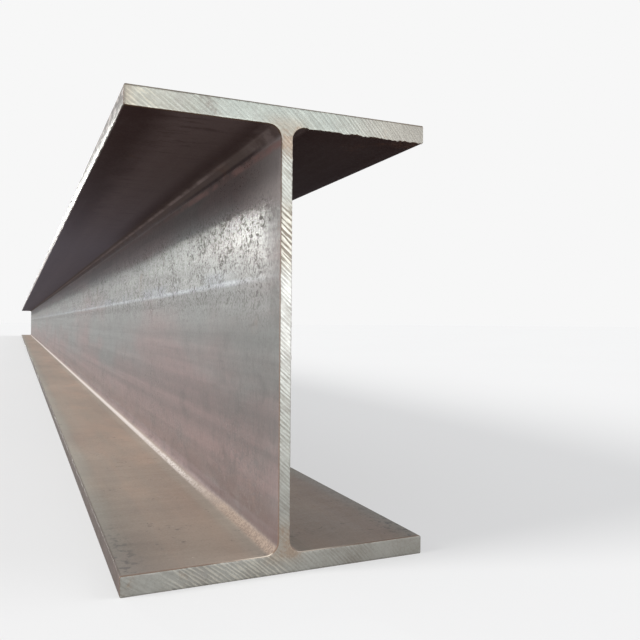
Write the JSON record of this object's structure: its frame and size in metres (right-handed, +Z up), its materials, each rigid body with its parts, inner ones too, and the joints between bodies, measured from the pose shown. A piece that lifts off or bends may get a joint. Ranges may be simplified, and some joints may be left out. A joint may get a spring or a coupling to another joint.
{
  "type": "steel h-beam",
  "caption": "Straight hot-rolled steel H-section beam in mill stock length, lying on its bottom flange, with parallel flanges, rounded roots and square sawn ends.",
  "frame": {"origin": "middle of the underside of the bottom flange, half way along the beam", "axes": "+X along the beam, +Y across the flanges at right angles to the web, +Z up the web from the bottom flange to the top flange"},
  "size_m": [12, 0.3, 0.44],
  "materials": {
    "mill_steel": "satin"
  },
  "bodies": {
    "root": {"h_beam": "mill_steel"}
  },
  "joints": []
}
